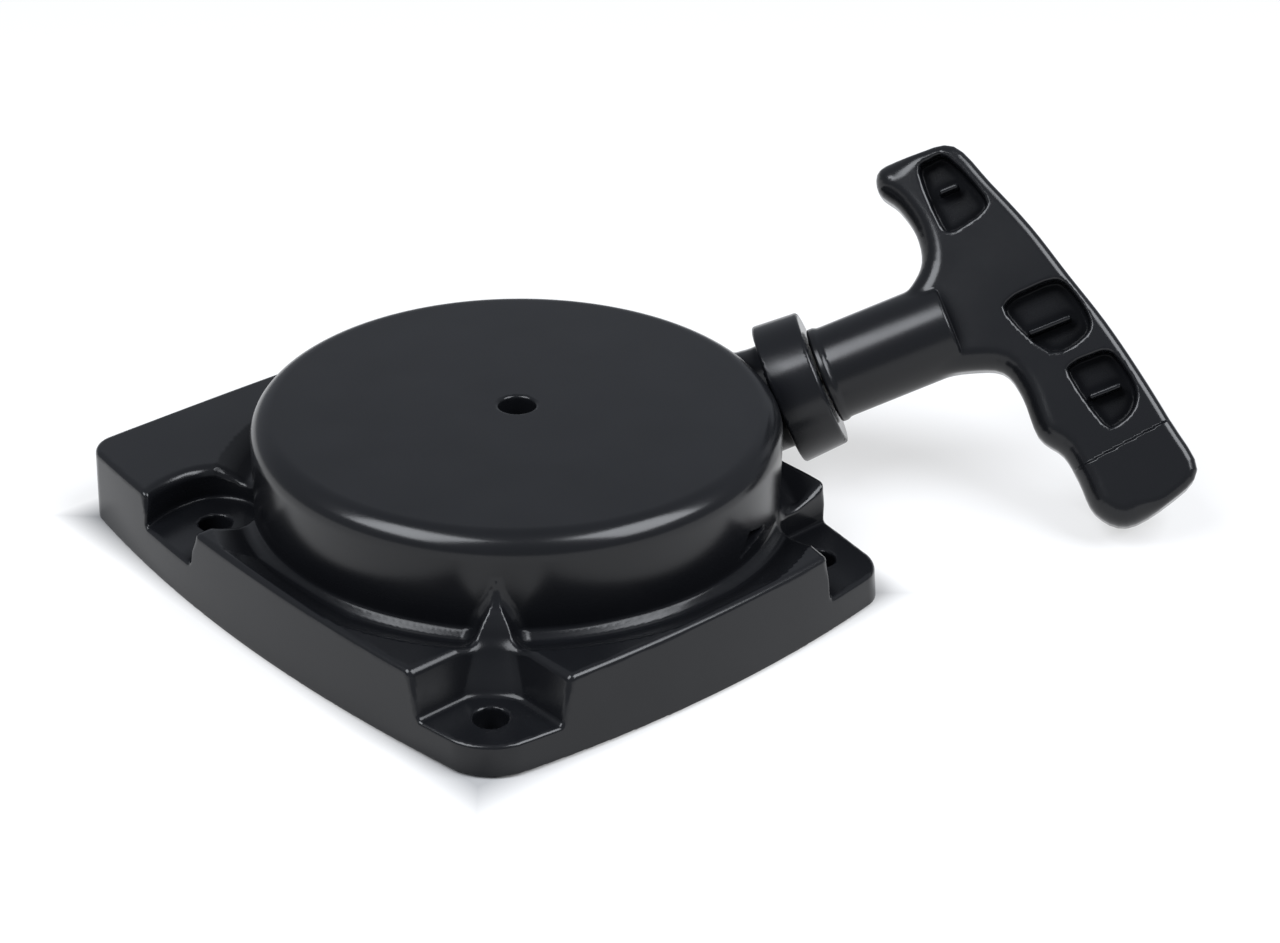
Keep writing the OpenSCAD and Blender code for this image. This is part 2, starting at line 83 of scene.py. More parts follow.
# where the skirt's cells end around the left and the right pocket
LEFT_CELL_R, RIGHT_CELL = 11.2, (19.9, -32.4)
POST_R, POST_END = 6.5, 9.2
# holes on the crank's axis: the one in the drum's top, and the insert's seat in the post
TOP_HOLE_R, TOP_HOLE_END, INSERT_R, INSERT_SPAN = 3.15, 22.0, 4.0, (8.0, 19.0)
RIB_PITCH, RIB_HALF = math.radians(15), 1.0
# nick at the drum's foot: its azimuth, and its corners as millimetres around the wall and height
NICK_AZ, NICK_DEPTH, NICK_MM_PER_DEG = -70, 43.4, 0.81
NICK = [(-2.2, 17.0), (3.6, 15.3), (-5.4, 13.7)]
ROPE_R, ROPE_REACH = 1.4, 24.5
PULL_AZ, PULL_RISE, ROLL = math.radians(-39), math.radians(24), math.radians(54)
PULL = np.array([math.cos(PULL_AZ), math.sin(PULL_AZ), 0.0])
SIDE = np.array([-math.sin(PULL_AZ), math.cos(PULL_AZ), 0.0])
AXIS = math.cos(PULL_RISE) * PULL + math.sin(PULL_RISE) * np.array([0.0, 0.0, 1.0])
G0 = 52.0 * PULL + ROPE_REACH * SIDE + np.array([0.0, 0.0, 18.6])
EXIT_Z = (G0 - 6.0 * AXIS)[2]
LEAVE = ROPE_REACH * SIDE + np.array([0, 0, EXIT_Z])  # where the rope leaves the pulley
# rope guide: a boss along PULL from LEAVE, then a neck and a collar along AXIS from G0
BOSS_R, BOSS_SPAN, BOSS_BORE_R, BOSS_BORE_SPAN = 8.4, (24, 46.5), 3.0, (26, 46.5)
NECK_R, NECK_SPAN = 9.8, (-8.2, 3.5)
COLLAR_R, COLLAR_DRAFT, COLLAR_SPAN = 12.95, 0.07, (-4.4, 4.2)
EYELET_R, EYELET_START, MOUTH_R, MOUTH_START = 4.2, -7.5, 6.5, 2.8
BAR = math.cos(ROLL) * SIDE + math.sin(ROLL) * np.cross(AXIS, SIDE)
FACE = np.cross(AXIS, BAR)
GRIP_FRAME = np.array([AXIS, BAR, FACE])  # rows: along the rope, along the crossbar, off its face


# ---------------------------------------------------------------- solid shapes as distance fields
def join(a, b, r):
    """Union with a fillet of radius r."""
    return np.maximum(r, np.minimum(a, b)) - np.hypot(np.maximum(r - a, 0), np.maximum(r - b, 0))


def meet(a, b, r):
    """Intersection with an edge rounded to radius r."""
    return np.minimum(-r, np.maximum(a, b)) + np.hypot(np.maximum(r + a, 0), np.maximum(r + b, 0))


def cut(a, b, r):
    """a with b taken away, its edge rounded to radius r."""
    return meet(a, -b, r)


def between(v, low, high):
    """Slab from low to high along v."""
    return np.maximum(low - v, v - high)


def step(x, a, b):
    """Smooth rise from 0 at a to 1 at b."""
    t = np.clip((x - a) / (b - a), 0, 1)
    return t * t * (3 - 2 * t)


def spline(a, b, c, d, t):
    """Catmull-Rom curve from b (t = 0) to c (t = 1)."""
    return 0.5 * (2 * b + (c - a) * t + (2 * a - 5 * b + 4 * c - d) * t**2 + (3 * b - a - 3 * c + d) * t**3)


def smooth_outline(points, n):
    """Closed curve through points, n steps a span."""
    p = np.array(points, float)
    out = []
    for i in range(len(p)):
        a, b, c, d = p[i - 1], p[i], p[(i + 1) % len(p)], p[(i + 2) % len(p)]
        out += [spline(a, b, c, d, k / n) for k in range(n)]
    return np.array(out)


def polygon(x, y, pts):
    """Signed distance to a closed polygon."""
    best = np.full(np.shape(x), 1e9)
    inside = np.zeros(np.shape(x), bool)
    for i in range(len(pts)):
        (ax, ay), (bx, by) = pts[i - 1], pts[i]
        ex, ey = bx - ax, by - ay
        wx, wy = x - ax, y - ay
        t = np.clip((wx * ex + wy * ey) / (ex * ex + ey * ey), 0, 1)
        best = np.minimum(best, (wx - t * ex) ** 2 + (wy - t * ey) ** 2)
        crosses = (ay <= y) != (by <= y)
        with np.errstate(divide="ignore", invalid="ignore"):
            inside ^= crosses & (wx < wy * ex / (ey if ey else 1e-12))
    return np.where(inside, -1.0, 1.0) * np.sqrt(best)


def outside_corner(x, y, corner, sx, sy):
    """Plan of a corner notch that reaches outward along sx and sy."""
    return meet(-sx * (x - corner[0]), -sy * (y - corner[1]), CORNER_R)


def left_pocket(x, y, radius):
    """Plan of the round pocket, open to the left."""
    return np.hypot(np.maximum(x - BOLTS[0][0], 0), y - BOLTS[0][1]) - radius


def plan(x, y, f, inset=0.0):
    """Plan of the base, from the mounting face (f = 0) to the deck (f = 1), moved inwards by an inset."""
    def mix(pair):
        return pair[0] * (1 - f) + pair[1] * f

    left = mix(LEFT_REACH) + mix(LEFT_CURVE) * (y - LEFT_MID) ** 2 - x + inset
    front = mix(FRONT_REACH) + mix(FRONT_CURVE) * x**2 - y + inset
    back = y - mix(BACK_REACH) - mix(BACK_CURVE) * x**2 + inset
    bulge = step(y, BULGE_Y[0], BULGE_Y[0] + BULGE_RUN) * step(-y, -BULGE_Y[1], BULGE_RUN - BULGE_Y[1])
    right = x - RIGHT_REACH - BULGE * bulge + inset
    return np.maximum(
        np.maximum(meet(left, front, 6.5 - inset), meet(front, right, 5.0 - inset)),
        np.maximum(meet(right, back, 5.0 - inset), meet(back, left, 4.5 - inset)),
    )


def along(x, y, z, origin, axis):
    """Distance along an axis, and away from it."""
    px, py, pz = x - origin[0], y - origin[1], z - origin[2]
    s = px * axis[0] + py * axis[1] + pz * axis[2]
    return s, np.sqrt(np.maximum(px * px + py * py + pz * pz - s * s, 0))


def case_shape(x, y, z):
    """The moulded case: drum, deck, bowed skirt, pockets, collar, and the hollow inside."""
    r = np.hypot(x, y)
    level = np.clip(z / DECK, -0.1, 1.1)
    drum = meet(r - DRUM_R, z - DRUM_TOP, 4.0)
    edge = plan(x, y, level)
    fall = DECK_FALL * (1 - np.clip(np.maximum((r - DRUM_R) / FALL_RUN, 1 + (edge + 0.8) / FALL_RUN), 0, 1))
    base = meet(meet(edge, z - DECK + fall, 0.9), -z, 0.5)
    foot = (r - DRUM_R) * math.cos(FOOT_LEAN) + (z - FOOT_Z) * math.sin(FOOT_LEAN)
    foot = np.maximum(np.maximum(foot, edge + 1.2), between(z, 4, DECK))
    body = join(join(base, foot, 0.8), drum, 0.5)
    # pockets over the bolt pads, the front one with a ramp up the drum's wall
    out = x * math.cos(SCOOP_AZ) + y * math.sin(SCOOP_AZ)
    across = np.abs(y * math.cos(SCOOP_AZ) - x * math.sin(SCOOP_AZ))
    rise = z - SCOOP_Z[0]
    t = np.clip(rise / (SCOOP_Z[1] - SCOOP_Z[0]), -0.1, 1.1)
    ramp = (out - DRUM_R - SCOOP_SLOPE * (SCOOP_Z[1] - z)) / math.hypot(1, SCOOP_SLOPE)
    gusset = meet(ramp - 0.3, across - 0.2 - 0.42 * np.maximum(SCOOP_Z[1] - z, 0), 0.6)
    gusset = np.maximum(gusset + 0.6 * step(z, 14.0, 18.5), np.maximum(z - SCOOP_Z[1], 40 - out))
    body = join(body, gusset, 2.0)
    corner = [a + (b - a) * t for a, b in zip(*SCOOP_CORNER)]
    pocket = meet(x - corner[0], y - corner[1], SCOOP_R[0] + (SCOOP_R[1] - SCOOP_R[0]) * t)
    pocket = meet(meet(meet(pocket, -ramp, 1.5), z - 17.5, 1.5), PAD - z, 0.7)
    body = cut(body, pocket, 0.6 + 0.5 * step(z, 8.5, 12.5) * (1 - step(z, 14.0, 17.0)))
    slanted = (RIGHT_SIDE[0] + RIGHT_SLANT * (y - RIGHT_SIDE[1]) - x) / 1.03
    pocket = meet(slanted, y - RIGHT_END, CORNER_R)
    body = cut(body, meet(pocket, PAD - z, 0.7), 0.7 + 0.9 * step(z, 8.5, 12.5))
    body = cut(body, meet(outside_corner(x, y, BACK_CORNER, 1, 1), PAD - z, 0.7), 0.9)
    bend = np.where(y > BOLTS[0][1], y + 0.03 * np.minimum(x + 43, 0) ** 2, y)
    pocket = left_pocket(x, bend, LEFT_POCKET_R)
    body = cut(body, meet(pocket, PAD_LEFT - z, 0.7), 0.8 + 1.2 * step(z, 9, 12.5))
    body = np.minimum(body, drum)
    around = (np.degrees(np.arctan2(y, x)) - NICK_AZ) * NICK_MM_PER_DEG
    nick = np.maximum(polygon(around, z, NICK), np.maximum(NICK_DEPTH - r, np.abs(around) - 9))
    body = cut(body, nick, 0.25)
    # rope guide
    s, away = along(x, y, z, LEAVE, PULL)
    boss = meet(away - BOSS_R, between(s, *BOSS_SPAN), 0.5)
    g, off_axis = along(x, y, z, G0, AXIS)
    neck = meet(off_axis - NECK_R, between(g, *NECK_SPAN), 0.5)
    collar = meet(off_axis - COLLAR_R + COLLAR_DRAFT * g, between(g, *COLLAR_SPAN), 0.6)
    body = join(body, boss, 1.5)
    body = join(body, neck, 0.8)
    body = join(body, collar, 0.3)
    body = meet(body, -z, 0.4)
    # inside
    post = meet(r - POST_R, POST_END - z, 0.5)
    cavity = cut(meet(r - CAVITY_R, z - ROOF, 1.2), post, 0.8)
    body = cut(body, np.maximum(cavity, -2 - z), 0.4)
    cell = plan(x, y, level, WALL)
    cell = cut(cell, r - DRUM_R, 0.6)
    cell = cut(cell, left_pocket(x, y, LEFT_CELL_R), 0.6)
    cell = cut(cell, meet(x - corner[0] - WALL, y - corner[1] - WALL, 5.0), 0.6)
    cell = cut(cell, outside_corner(x, y, RIGHT_CELL, 1, -1), 0.6)
    cell = cut(cell, outside_corner(x, y, [v - WALL for v in BACK_CORNER], 1, 1), 0.6)
    turn = np.arctan2(y, x) / RIB_PITCH
    rib = np.abs((turn - np.floor(turn)) - 0.5) * RIB_PITCH * r - RIB_HALF
    cell = cut(cell, rib, 0.5)
    cell = meet(cell, z - DECK + fall + WALL, 0.6)
    body = cut(body, cell, 0.35)
    # holes
    for bolt_x, bolt_y in BOLTS:
        body = cut(body, np.hypot(x - bolt_x, y - bolt_y) - BOLT_R, 0.4)
    body = cut(body, np.maximum(r - TOP_HOLE_R, TOP_HOLE_END - z), 0.6)
    body = cut(body, np.maximum(r - INSERT_R, between(z, *INSERT_SPAN)), 0.2)
    body = cut(body, meet(away - BOSS_BORE_R, between(s, *BOSS_BORE_SPAN), 0.3), 0.3)
    body = cut(body, np.maximum(off_axis - EYELET_R, EYELET_START - g), 0.2)
    body = cut(body, np.maximum(off_axis - MOUTH_R, MOUTH_START - g), 0.3)
    return body


# the grip in its own frame: the crossbar's outline, its pockets, and each pocket's rib (from x, to x, at y)
OUTLINE = smooth_outline([
    (17, 5.2), (21.5, 7.4), (25.2, 9), (28.4, 12.2), (29.3, 17.3), (28.1, 22.8), (25.9, 27),
    (27.7, 30.8), (34.6, 30.6), (41.4, 29.2), (45, 20.5), (48.7, 10.3), (51.5, 0), (54.3, -10),
    (56.4, -20), (58.2, -31), (59.2, -40.6), (52.4, -44.2), (44.4, -45.4), (40.1, -41.2), (39.6, -34.8),
    (38.8, -29.6), (36, -24.8), (36, -17), (34.4, -11.8), (29, -9.3), (23, -7.8), (17, -5.2)], 4)
POCKETS = [smooth_outline(p, 3) for p in (
    [(34, 27), (36.4, 28.4), (39.6, 27.6), (43, 18.4), (41.6, 16.1), (38.4, 15.2), (35.4, 14.9), (34, 17)],
    [(38.9, -2.6), (40.6, -0.4), (44, 0), (48.6, -0.1), (50.6, -2.2), (51.9, -8.2), (50.2, -11.4),
     (43.4, -11.8)],
    [(45, -17), (46.4, -15.2), (49.6, -15), (52.4, -15.3), (53.8, -17.2), (54.7, -23), (53.2, -26.4),
     (49.8, -28), (47.3, -27)])]
RIBS = [(36.0, 39.4, 22.3), (41.2, 49.0, -7.3), (46.8, 52.6, -21.8)]
BAR_HALF, PAD_SUNK, POCKET_FLOOR, RIB_TOP = 6.5, 0.7, 1.6, 5.2
STEM_R, STEM_SPAN, GRIP_BORE_R = 8.6, (4.5, 29.0), 1.75
CHAMBER_R, CHAMBER_SPAN = 4.4, (22, 33)


def grip_shape(x, y, z):
    """The moulded T grip in its own frame: stem, flat crossbar with pockets, and the knot's chamber."""
    out = polygon(x, y, OUTLINE)
    off_face = np.abs(z)
    # edges are softer on the side towards the stem; the plain end of the bar stands a little proud
    middle = 41.5 - 0.23 * y
    edge = 1.8 + 2.2 * step(middle - x, -1.0, 5.0)
    pad_line = -31.6 + 0.12 * (x - 50)
    half = BAR_HALF - PAD_SUNK * step(y, pad_line - 0.2, pad_line + 0.2)
    bar = meet(out, off_face - half, edge)
    for outline in POCKETS:
        bar = cut(bar, meet(polygon(x, y, outline), POCKET_FLOOR - off_face, 0.6), 0.6)
    for x0, x1, rib_y in RIBS:
        rib = meet(between(x, x0, x1), np.abs(y - rib_y) - 0.45, 0.2)
        bar = np.minimum(bar, meet(rib, off_face - RIB_TOP, 0.3))
    radius = np.hypot(y, z)
    stem = meet(radius - STEM_R - 0.35 * step(-x, -6.6, -5.6), between(x, *STEM_SPAN), 0.5)
    body = join(bar, stem, 0.3)
    body = cut(body, np.maximum(radius - GRIP_BORE_R, x - 23), 0.5)
    chamber = np.maximum(radius - CHAMBER_R, between(x, *CHAMBER_SPAN))
    window = np.maximum(np.maximum(np.abs(y) - CHAMBER_R, z), between(x, *CHAMBER_SPAN))
    return cut(body, np.minimum(chamber, window), 0.3)


# ---------------------------------------------------------------- meshing a distance field
EDGES = [((0, 0, 0), 0), ((0, 1, 0), 0), ((0, 0, 1), 0), ((0, 1, 1), 0),
         ((0, 0, 0), 1), ((1, 0, 0), 1), ((0, 0, 1), 1), ((1, 0, 1), 1),
         ((0, 0, 0), 2), ((1, 0, 0), 2), ((0, 1, 0), 2), ((1, 1, 0), 2)]


def sample(shape, lo, n, h):
    """A shape's field on a grid of n points h apart."""
    axes = [lo[k] + h * np.arange(n[k]) for k in range(3)]
    field = np.empty(n, np.float32)
    for i in range(0, n[0], 12):
        field[i:i + 12] = shape(*np.meshgrid(axes[0][i:i + 12], axes[1], axes[2], indexing="ij"))
    return field


def slope(shape, p, e=0.04):
    """A field's gradient at points."""
    g = np.empty_like(p)
    for k in range(3):
        d = np.zeros(3)
        d[k] = e
        g[:, k] = (shape(*(p + d).T) - shape(*(p - d).T)) / (2 * e)
    return g


def settle(shape, p, h, rounds=3):
    """Moves points onto the surface."""
    for _ in range(rounds):
        g = slope(shape, p)
        move = shape(*p.T)[:, None] * g / np.maximum((g * g).sum(1), 0.05)[:, None]
        size = np.linalg.norm(move, axis=1)[:, None]
        p = p - move * np.minimum(1, 0.6 * h / np.maximum(size, 1e-9))
    return p


def net(shape, lo, hi, h):
    """Points and quads of a shape's surface, one point to each grid cell that the surface crosses."""
    lo, hi = np.array(lo, float), np.array(hi, float)
    n = (np.ceil((hi - lo) / h) + 1).astype(int)
    f = sample(shape, lo, n, h)
    s = f < 0
    total = np.zeros(n - 1, np.int8)
    for i in (0, 1):
        for j in (0, 1):
            for k in (0, 1):
                total += s[i:n[0] - 1 + i, j:n[1] - 1 + j, k:n[2] - 1 + k]
    active = (total > 0) & (total < 8)
    cells = np.argwhere(active)
    index = np.full(n - 1, -1, np.int32)
    index[active] = np.arange(len(cells))
    pos, count = np.zeros((len(cells), 3)), np.zeros(len(cells))
    for corner, axis in EDGES:
        a = cells + corner
        b = a.copy()
        b[:, axis] += 1
        fa, fb = f[tuple(a.T)], f[tuple(b.T)]
        crossed = (fa < 0) != (fb < 0)
        t = np.where(crossed, fa / np.where(crossed, fa - fb, 1), 0)
        point = np.repeat([np.array(corner, float)], len(cells), 0)
        point[:, axis] += t
        pos[crossed] += point[crossed]
        count[crossed] += 1
    points = lo + h * (cells + pos / count[:, None])
    quads = []
    for axis in range(3):
        u, v = (axis + 1) % 3, (axis + 2) % 3
        low = [slice(1, -1)] * 3
        low[axis] = slice(0, -1)
        high = list(low)
        high[axis] = slice(1, None)
        a, b = s[tuple(low)], s[tuple(high)]
        for first in (True, False):
            at = np.argwhere((a & ~b) if first else (b & ~a)) + [0 if k == axis else 1 for k in range(3)]
            du, dv = np.eye(3, dtype=int)[u], np.eye(3, dtype=int)[v]
            ring = [at, at - du, at - du - dv, at - dv]
            quad = np.stack([index[tuple(c.T)] for c in ring], 1)
            quads.append(quad if first else quad[:, ::-1])
    return settle(shape, points, h), np.concatenate(quads)


def mesh_from(name, points, faces):
    """Mesh from points in millimetres and faces with the same number of corners."""
    mesh = bpy.data.meshes.new(name)
    mesh.vertices.add(len(points))
    mesh.vertices.foreach_set("co", (points * MM).astype(np.float32).ravel())
    size = faces.shape[1]
    mesh.loops.add(faces.size)
    mesh.loops.foreach_set("vertex_index", faces.astype(np.int32).ravel())
    mesh.polygons.add(len(faces))
    mesh.polygons.foreach_set("loop_start", np.arange(0, faces.size, size, dtype=np.int32))
    mesh.update(calc_edges=True)
    mesh.validate()
    return mesh


# how far out a hollow is looked for, and how far in an edge
HOLLOW_REACH, EDGE_REACH = (2.0, 5.0, 9.0), 0.6


def shell(name, shape, lo, hi, h, faces, place=None, origin=None):
    """A solid's mesh from its distance field, thinned to a number of faces, with its exact normals.

    Each point also gets two values from 0 to 1: "hollow" deep in a hollow and "ridge" on an outer edge.
    """
    points, quads = net(shape, lo, hi, h)
    obj = bpy.data.objects.new(name, mesh_from(name, points, quads))
    bpy.context.scene.collection.objects.link(obj)
    thin = obj.modifiers.new("thin", "DECIMATE")
    thin.ratio = min(1.0, faces / (2 * len(quads)))
    made = bpy.data.meshes.new_from_object(obj.evaluated_get(bpy.context.evaluated_depsgraph_get()))
    obj.modifiers.clear()
    p = np.empty(3 * len(made.vertices), np.float32)
    made.vertices.foreach_get("co", p)
    p = settle(shape, p.reshape(-1, 3).astype(float) / MM, 0.3, 2)
    g = slope(shape, p)
    g /= np.maximum(np.linalg.norm(g, axis=1), 1e-9)[:, None]
    # hollow is what the plastics use for their painted shade in recesses
    hollow = np.mean([np.clip(1 - shape(*(p + d * g).T) / d, 0, 1) for d in HOLLOW_REACH], 0)
    ridge = np.clip(1 + shape(*(p - EDGE_REACH * g).T) / EDGE_REACH, 0, 1)
    for label, values in (("hollow", hollow), ("ridge", ridge)):
        made.attributes.new(label, "FLOAT", "POINT").data.foreach_set("value", values.astype(np.float32))
    if place is not None:
        p, g = p @ place + origin, g @ place
    made.vertices.foreach_set("co", (p * MM).astype(np.float32).ravel())
    made.polygons.foreach_set("use_smooth", np.ones(len(made.polygons), bool))
    made.update()
    made.normals_split_custom_set_from_vertices([tuple(v) for v in g])
    obj.data = made
    made.name = name
    return obj


def stands_for(obj, body, node):
    """Makes a piece ride a body in place of a CAD node."""
    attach(obj, body)
    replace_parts(obj, node)


CASE_CELL, GRIP_CELL = ((0.55, 0.45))
case = shell("case_moulding", case_shape, (-57, -59, -1.5), (70, 68, 34), CASE_CELL, 190000)
stands_for(case, "case", "starter_case")
grip = shell("grip_moulding", grip_shape, (3.5, -47, -9.5), (61.5, 33, 9.5), GRIP_CELL, 150000,
             GRIP_FRAME, G0)
stands_for(grip, "grip", "handle_grip")


# ---------------------------------------------------------------- rope and springs
def fine_path(points, gap):
    """Smooth curve through points, resampled at even steps."""
    p = np.array(points, float)
    ends = np.vstack([2 * p[0] - p[1], p, 2 * p[-1] - p[-2]])
    out = []
    for a, b, c, d in zip(ends, ends[1:], ends[2:], ends[3:]):
        t = np.linspace(0, 1, 12, endpoint=False)[:, None]
        out.append(spline(a, b, c, d, t))
    q = np.vstack([*out, p[-1:]])
    s = np.concatenate([[0], np.cumsum(np.linalg.norm(np.diff(q, axis=0), axis=1))])
    even = np.linspace(0, s[-1], max(2, int(round(s[-1] / gap))) + 1)
    return np.stack([np.interp(even, s, q[:, k]) for k in range(3)], 1), even


def smooth_object(name, verts, faces):
    """Object with smooth faces, from points in millimetres."""
    mesh = bpy.data.meshes.new(name)
    mesh.from_pydata([tuple(v) for v in verts * MM], [], faces)
    mesh.polygons.foreach_set("use_smooth", np.ones(len(mesh.polygons), bool))
    mesh.update()
    obj = bpy.data.objects.new(name, mesh)
    bpy.context.scene.collection.objects.link(obj)
    return obj


# strands of the braid each way, and the length of rope over which each moves on by one
STRANDS, LAY = 8, 3.2


def tube(name, points, radius, gap, sides, braid=0.0):
    """Round rod along a curve, with closed ends. A braid raises crossing strands on it."""
    q, s = fine_path(points, gap)
    ahead = np.gradient(q, axis=0)
    ahead /= np.linalg.norm(ahead, axis=1)[:, None]
    u = np.cross(ahead[0], (0.0, 0.0, 1.0) if abs(ahead[0][2]) < 0.9 else (1.0, 0.0, 0.0))
    verts = []
    turn = np.linspace(0, 2 * math.pi, sides, endpoint=False)
    for i in range(len(q)):
        u = u - ahead[i] * (u @ ahead[i])
        u /= np.linalg.norm(u)
        v = np.cross(ahead[i], u)
        twist = 2 * math.pi * s[i] / (LAY * STRANDS)
        left, right = np.sin(STRANDS * (turn + twist) / 2), np.sin(STRANDS * (turn - twist) / 2)
        r = radius * (1 - braid * (1 - np.maximum(np.abs(left), np.abs(right)) ** 0.7))
        r = r[:, None]
        verts.append(q[i] + r * (np.cos(turn)[:, None] * u + np.sin(turn)[:, None] * v))
    verts = np.vstack([*verts, q[:1] - ahead[:1] * 0.25 * radius, q[-1:] + ahead[-1:] * 0.25 * radius])
    faces = []
    for i in range(len(q) - 1):
        for k in range(sides):
            a, b = i * sides + k, i * sides + (k + 1) % sides
            faces.append((a, b, b + sides, a + sides))
    last, tip = (len(q) - 1) * sides, len(q) * sides
    faces += [(tip, (k + 1) % sides, k) for k in range(sides)]
    faces += [(tip + 1, last + k, last + (k + 1) % sides) for k in range(sides)]
    return smooth_object(name, verts, faces)


# the run of rope: from the pulley's rim to its knot in the grip
run = [LEAVE + PULL * s for s in (0, 15, 30, 44.5)] + [G0 + AXIS * x for x in (-4, 3, 10, 17, 24.5)]
rope_run = tube("rope_run", run, ROPE_R, 0.3, 24, braid=0.1)
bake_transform(rope_run)
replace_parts(rope_run, "pull_rope")

# rope on the pulley: seven near-turns in two lanes, each layer further out
# angles in degrees; SWAP is what a change of layer or lane takes
SEGMENTS, SEGMENT, LANE_GAP, SWAP = 7, 330.0, 2.9, 30.0
INNER_R = ROPE_REACH - 3 * LANE_GAP
# the rope's inner end comes out of the hub
TAIL_R, TAIL_LEAD, TAIL_END, TAIL_DROP = 12.3, 14.0, 15.0, 0.6


def wound_point(a):
    """Point of the rope after a degrees on the pulley."""
    k = min(int(a // SEGMENT), SEGMENTS - 1)
    after = min(k + 1, SEGMENTS - 1)
    f = float(step(a, (k + 1) * SEGMENT - SWAP, (k + 1) * SEGMENT))
    r = INNER_R + LANE_GAP * ((k // 2) * (1 - f) + (after // 2) * f)
    z = EXIT_Z - LANE_GAP * (((k + 1) // 2 % 2) * (1 - f) + ((after + 1) // 2 % 2) * f)
    turn = math.pi / 2 + PULL_AZ + math.radians(SEGMENTS * SEGMENT - a)
    return r * math.cos(turn), r * math.sin(turn), z


def tail_point(a):
    """Point of the rope's inner end, up to TAIL_END degrees."""
    f = (a + TAIL_LEAD) / (TAIL_END + TAIL_LEAD)
    r = TAIL_R + (INNER_R - TAIL_R) * float(step(f, 0, 1))
    turn = math.pi / 2 + PULL_AZ + math.radians(SEGMENTS * SEGMENT - a)
    return r * math.cos(turn), r * math.sin(turn), EXIT_Z - TAIL_DROP * (1 - f)


wound = [tail_point(-TAIL_LEAD + n * (TAIL_END + TAIL_LEAD) / 4) for n in range(4)]
wound += [wound_point(a) for a in np.arange(TAIL_END, SEGMENTS * SEGMENT + 1, 7.5)]
stands_for(tube("rope_wound", wound, ROPE_R, 0.5, 20, braid=0.08), "reel", "wound_rope")

# spiral strip with its two hooks
HOOK, STRIP_T, STRIP_Z, TURNS = math.radians(15), 0.5, (EXIT_Z + 4.05, ROOF - 0.9), 8
STRIP_R, STRIP_EDGE, STRIP_STEPS = (10.35, 29.05), 0.15, 120
# how far the inner hook reaches in, and the outer one out
HOOK_IN, HOOK_OUT = (1.1, 0.5), 2.1


def strip(name):
    """Spring strip: a thin band on edge with its long edges rounded."""
    n = np.arange(0, TURNS * STRIP_STEPS + 1)
    angle = HOOK + n * math.radians(360 / STRIP_STEPS)
    inner = STRIP_R[0] + (STRIP_R[1] - STRIP_R[0] - STRIP_T) * n / n[-1]
    low, high = STRIP_Z
    e = STRIP_EDGE
    outline = [(0, low + e), (e, low), (STRIP_T - e, low), (STRIP_T, low + e),
               (STRIP_T, high - e), (STRIP_T - e, high), (e, high), (0, high - e)]
    path = [(HOOK, STRIP_R[0] - reach) for reach in HOOK_IN] + list(zip(angle, inner))
    rows = [[((r + dr) * math.cos(a), (r + dr) * math.sin(a), z) for dr, z in outline] for a, r in path]
    count = len(outline)
    verts = np.array(rows, float).reshape(-1, 3)
    faces = []
    for i in range(len(rows) - 1):
        for j in range(count):
            a, b = i * count + j, i * count + (j + 1) % count
            faces.append((a, a + count, b + count, b))
    faces += [tuple(range(count)), tuple(range(len(verts) - 1, len(verts) - count - 1, -1))]
    # the outer end bends out through the slot in the spring case
    tab = len(verts)
    outward = np.array([math.cos(HOOK), math.sin(HOOK), 0])
    side = np.array([-math.sin(HOOK), math.cos(HOOK), 0]) * STRIP_T
    start = (STRIP_R[1] - STRIP_T) * outward
    far = start + HOOK_OUT * outward
    corners = [start, far, far + side, start + side]
    verts = np.vstack([verts, [c + [0, 0, low] for c in corners], [c + [0, 0, high] for c in corners]])
    faces += [tuple(tab + v for v in f) for f in
              ((3, 2, 1, 0), (4, 5, 6, 7), (0, 1, 5, 4), (1, 2, 6, 5), (2, 3, 7, 6), (3, 0, 4, 7))]
    obj = smooth_object(name, verts, faces)
    obj.data.set_sharp_from_angle(angle=math.radians(40))
    return obj


stands_for(strip("spring_strip"), "case", "recoil_spring")


COIL_TURNS, COIL_STEPS = 1.95, 24


def coil(centre, r, z0, z1, start, legs):
    """Path of a wire coil with a leg at each end, given as steps out from the coil and along its tangent."""
    turns = COIL_TURNS
    n = int(turns * COIL_STEPS)
    points = [(centre[0] + r * math.cos(start + a), centre[1] + r * math.sin(start + a), z)
              for a, z in zip(np.linspace(0, turns * 2 * math.pi, n + 1), np.linspace(z0, z1, n + 1))]
    ends = []
    stop = start + turns * 2 * math.pi
    for (out, ahead), at, z, sign in ((legs[0], start, z0, -1), (legs[1], stop, z1, 1)):
        c, s = math.cos(at), math.sin(at)
        leg_x = centre[0] + (r + out) * c - sign * ahead * s
        leg_y = centre[1] + (r + out) * s + sign * ahead * c
        ends.append((leg_x, leg_y, z))
    return [ends[0], *points, ends[1]]


friction_path = coil((0, 0), 9.0, 7.76, 8.48, 0.4, ((-0.7, 0.9), (-0.7, 0.9)))
stands_for(tube("friction_coil", friction_path, 0.35, 0.3, 12), "case", "friction_spring")
PIN_CIRCLE = 23.0
for letter, side in (("a", 1), ("b", -1)):
    path = coil((0, PIN_CIRCLE * side), 2.25, 8.46, 9.06, math.pi / 2 * side, ((0.2, 3.4), (0.2, 3.0)))
    stands_for(tube("pawl_coil_" + letter, path, 0.25, 0.2, 10), "reel", "pawl_springs")


